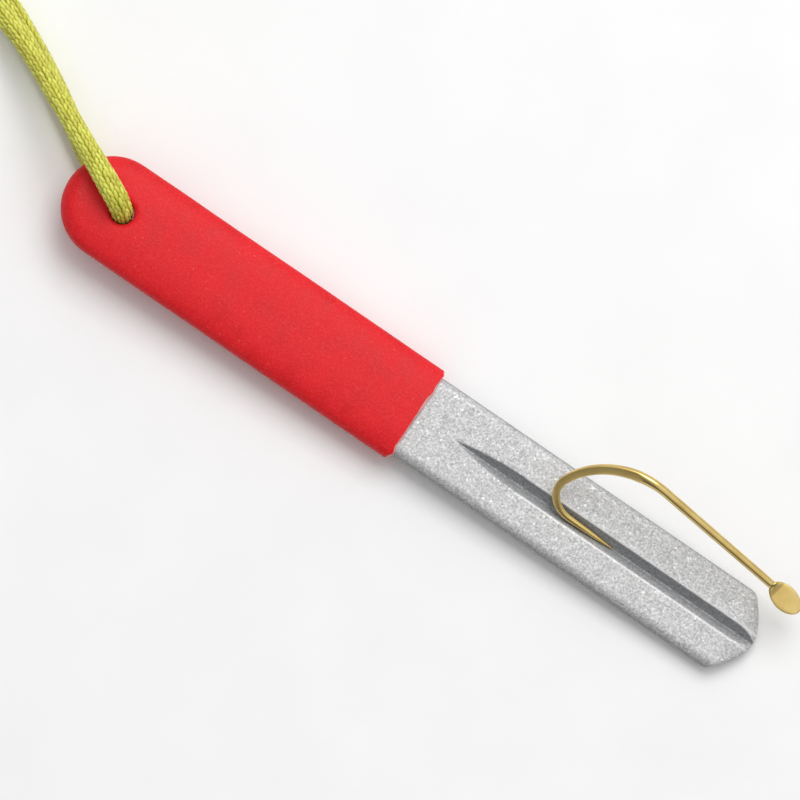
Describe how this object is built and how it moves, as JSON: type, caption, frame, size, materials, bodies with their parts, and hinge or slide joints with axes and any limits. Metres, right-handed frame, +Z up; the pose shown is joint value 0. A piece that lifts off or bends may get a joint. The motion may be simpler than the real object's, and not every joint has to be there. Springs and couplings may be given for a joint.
{
  "type": "fish hook sharpener",
  "caption": "Flat abrasive bar with a V-groove, a dipped grip, a braided lanyard through its end, and a spade-end hook in the groove.",
  "frame": {"origin": "on the surface that the tool lies on, below the middle of the outline of the tool and hook", "axes": "+X from the grip towards the blade's tip, +Z up from the surface; the blade leans 2.42 degrees nose down"},
  "size_m": [0.2257, 0.0314, 0.0132],
  "materials": {
    "abrasive_steel": "nickel-bonded grit on steel",
    "red_vinyl": "soft satin vinyl",
    "gold_plate": "bright gold plating on steel",
    "lanyard_braid": "satin braid"
  },
  "bodies": {
    "sharpener": {"sharpening_blade": "abrasive_steel", "grip_sleeve": "red_vinyl"},
    "lanyard": {"lanyard_upper_strand": "lanyard_braid", "lanyard_lower_strand": "lanyard_braid", "lanyard_knot": "lanyard_braid"},
    "hook": {"fish_hook": "gold_plate"}
  },
  "joints": [
    {"name": "hook_stroke", "type": "slide", "parent": "sharpener", "child": "hook", "axis": [0.9991, 0, -0.0422], "range_m": [-0.006, 0.024]},
    {"name": "lanyard_swing", "type": "hinge", "parent": "sharpener", "child": "lanyard", "pos_m": [-0.04975, -0.00135, 0.00581], "axis": [0, 0, 1], "range_deg": [-60, 120]}
  ]
}
